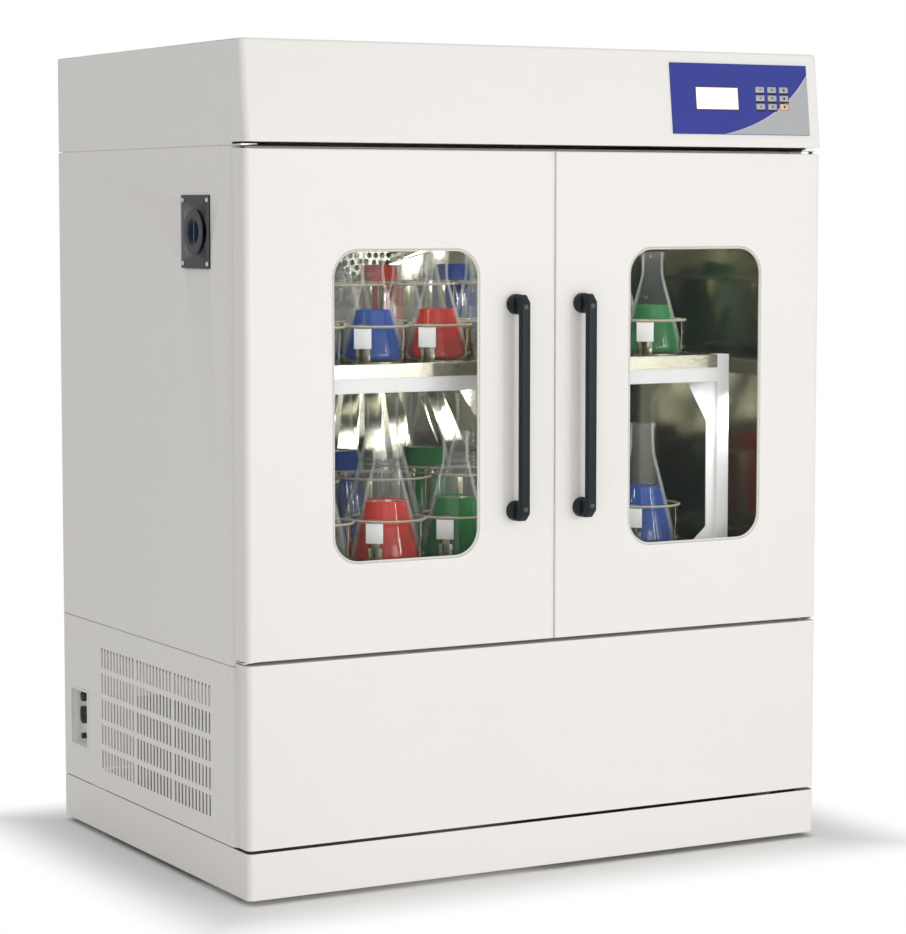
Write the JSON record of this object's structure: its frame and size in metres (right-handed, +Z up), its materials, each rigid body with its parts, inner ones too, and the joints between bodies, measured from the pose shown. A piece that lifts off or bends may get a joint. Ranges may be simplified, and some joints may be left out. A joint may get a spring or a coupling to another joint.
{
  "type": "incubated orbital shaker",
  "caption": "Floor-standing incubated orbital shaker cabinet with two glazed side-hinged doors, louvred machine compartment, header control panel and a two-tier platform of clamped flasks.",
  "frame": {"origin": "centre of the object's box, on the floor under the feet", "axes": "+Z up, -Y towards the doors, +X to the right of someone who faces the doors"},
  "size_m": [1.261, 0.93, 1.56],
  "materials": {
    "cabinet_paint": "powder-coated sheet steel, off-white",
    "frame_paint": "black painted steel tube",
    "zinc_steel": "zinc-plated steel",
    "stainless": "brushed stainless sheet",
    "rack_paint": "white powder-coated tube",
    "handle_finish": "near-black moulded plastic",
    "seal_rubber": "light grey gasket",
    "plug_rubber": "dark silicone",
    "foot_rubber": "black rubber",
    "belt_rubber": "black ribbed belt",
    "pane_glass": "clear float glass",
    "flask_glass": "clear borosilicate glass",
    "liquid": "coloured liquid",
    "overlay": "printed blue and grey membrane",
    "display": "blank pale display",
    "key_grey": "silver-grey key",
    "key_orange": "peach key",
    "board": "green circuit board",
    "white_plastic": "white moulded plastic",
    "black_plastic": "black moulded plastic",
    "dark_plate": "dark polished stainless",
    "foam": "foamed-in insulation",
    "aluminium": "aluminium fins and fan",
    "cast_housing": "grey painted casting",
    "crank_steel": "turned steel"
  },
  "bodies": {
    "cabinet": {"base_frame": "frame_paint", "levelling_feet": "zinc_steel", "plinth": "cabinet_paint", "lower_front_panel": "cabinet_paint", "left_service_panel": "cabinet_paint", "right_service_panel": "cabinet_paint", "left_side_panel": "cabinet_paint", "right_side_panel": "cabinet_paint", "back_panel": "cabinet_paint", "header_cover": "cabinet_paint", "chamber_liner": "stainless", "insulation": "foam", "hinge_brackets": "zinc_steel", "control_overlay": "overlay", "display_window": "display", "control_board": "board", "power_pocket": "white_plastic", "power_inlet": "black_plastic", "port_plate": "dark_plate", "panel_screws": "zinc_steel", "air_duct": "stainless", "heat_exchangers": "aluminium", "fan_motors": "cast_housing", "condensing_unit": "frame_paint", "bearing_housings": "cast_housing", "drive_motor": "cast_housing", "drive_belt": "belt_rubber"},
    "left_door": {"left_door_shell": "cabinet_paint", "left_door_core": "white_plastic", "left_window_panes": "pane_glass", "left_door_seal": "seal_rubber", "left_handle": "handle_finish"},
    "right_door": {"right_door_shell": "cabinet_paint", "right_door_core": "white_plastic", "right_window_panes": "pane_glass", "right_door_seal": "seal_rubber", "right_handle": "handle_finish"},
    "drive_crank": {"drive_crank": "crank_steel"},
    "platform": {"lower_tray": "stainless", "upper_tray": "stainless", "rack_frame": "rack_paint", "flask_glass": "flask_glass", "flask_liquids": "liquid", "flask_clamps": "stainless"},
    "idler_left": {"idler_left": "crank_steel"},
    "idler_right": {"idler_right": "crank_steel"},
    "motor_pulley": {"motor_pulley": "crank_steel"},
    "circulation_fan": {"circulation_fan": "aluminium"},
    "condenser_fan": {"condenser_fan": "aluminium"},
    "rocker_switch": {"rocker_switch": "black_plastic"},
    "port_plug": {"port_plug": "plug_rubber"},
    "key_1": {"key_1": "key_grey"},
    "key_2": {"key_2": "key_grey"},
    "key_3": {"key_3": "key_grey"},
    "key_4": {"key_4": "key_grey"},
    "key_5": {"key_5": "key_grey"},
    "key_6": {"key_6": "key_grey"},
    "key_7": {"key_7": "key_grey"},
    "key_8": {"key_8": "key_grey"},
    "key_9": {"key_9": "key_orange"}
  },
  "joints": [
    {"name": "left_door_hinge", "type": "hinge", "parent": "cabinet", "child": "left_door", "pos_m": [-0.6165, -0.398, 0.91], "axis": [0, 0, 1], "range_deg": [-110, 0]},
    {"name": "right_door_hinge", "type": "hinge", "parent": "cabinet", "child": "right_door", "pos_m": [0.6205, -0.398, 0.91], "axis": [0, 0, 1], "range_deg": [0, 110]},
    {"name": "crank_spin", "type": "hinge", "parent": "cabinet", "child": "drive_crank", "pos_m": [0.002, 0.137, 0.41], "axis": [0, 0, 1], "continuous": true},
    {"name": "platform_orbit", "type": "hinge", "parent": "drive_crank", "child": "platform", "pos_m": [0.015, 0.137, 0.53], "axis": [0, 0, 1], "continuous": true},
    {"name": "idler_left_spin", "type": "hinge", "parent": "cabinet", "child": "idler_left", "pos_m": [-0.298, -0.123, 0.41], "axis": [0, 0, 1], "continuous": true},
    {"name": "idler_right_spin", "type": "hinge", "parent": "cabinet", "child": "idler_right", "pos_m": [0.302, -0.123, 0.41], "axis": [0, 0, 1], "continuous": true},
    {"name": "motor_pulley_spin", "type": "hinge", "parent": "cabinet", "child": "motor_pulley", "pos_m": [0.262, 0.137, 0.25], "axis": [0, 0, 1], "continuous": true},
    {"name": "circulation_fan_spin", "type": "hinge", "parent": "cabinet", "child": "circulation_fan", "pos_m": [0.002, 0.357, 1.16], "axis": [0, 1, 0], "continuous": true},
    {"name": "condenser_fan_spin", "type": "hinge", "parent": "cabinet", "child": "condenser_fan", "pos_m": [-0.5105, -0.003, 0.175], "axis": [1, 0, 0], "continuous": true},
    {"name": "rocker_tip", "type": "hinge", "parent": "cabinet", "child": "rocker_switch", "pos_m": [-0.608, 0.403, 0.2635], "axis": [0, 1, 0], "range_deg": [-16, 0]},
    {"name": "plug_pull", "type": "slide", "parent": "cabinet", "child": "port_plug", "axis": [-1, 0, 0], "range_m": [0, 0.07]},
    {"name": "key_1_press", "type": "slide", "parent": "cabinet", "child": "key_1", "axis": [0, 0.9929, -0.1194], "range_m": [0, 0.0008], "stiffness_N_per_m": 600, "springref_m": -0.0005},
    {"name": "key_2_press", "type": "slide", "parent": "cabinet", "child": "key_2", "axis": [0, 0.9929, -0.1194], "range_m": [0, 0.0008], "stiffness_N_per_m": 600, "springref_m": -0.0005},
    {"name": "key_3_press", "type": "slide", "parent": "cabinet", "child": "key_3", "axis": [0, 0.9929, -0.1194], "range_m": [0, 0.0008], "stiffness_N_per_m": 600, "springref_m": -0.0005},
    {"name": "key_4_press", "type": "slide", "parent": "cabinet", "child": "key_4", "axis": [0, 0.9929, -0.1194], "range_m": [0, 0.0008], "stiffness_N_per_m": 600, "springref_m": -0.0005},
    {"name": "key_5_press", "type": "slide", "parent": "cabinet", "child": "key_5", "axis": [0, 0.9929, -0.1194], "range_m": [0, 0.0008], "stiffness_N_per_m": 600, "springref_m": -0.0005},
    {"name": "key_6_press", "type": "slide", "parent": "cabinet", "child": "key_6", "axis": [0, 0.9929, -0.1194], "range_m": [0, 0.0008], "stiffness_N_per_m": 600, "springref_m": -0.0005},
    {"name": "key_7_press", "type": "slide", "parent": "cabinet", "child": "key_7", "axis": [0, 0.9929, -0.1194], "range_m": [0, 0.0008], "stiffness_N_per_m": 600, "springref_m": -0.0005},
    {"name": "key_8_press", "type": "slide", "parent": "cabinet", "child": "key_8", "axis": [0, 0.9929, -0.1194], "range_m": [0, 0.0008], "stiffness_N_per_m": 600, "springref_m": -0.0005},
    {"name": "key_9_press", "type": "slide", "parent": "cabinet", "child": "key_9", "axis": [0, 0.9929, -0.1194], "range_m": [0, 0.0008], "stiffness_N_per_m": 600, "springref_m": -0.0005}
  ],
  "couplings": [
    {"joint": "platform_orbit", "follows": "crank_spin", "ratio": -1},
    {"joint": "idler_left_spin", "follows": "crank_spin", "ratio": 1},
    {"joint": "idler_right_spin", "follows": "crank_spin", "ratio": 1},
    {"joint": "motor_pulley_spin", "follows": "crank_spin", "ratio": 2.8571}
  ]
}
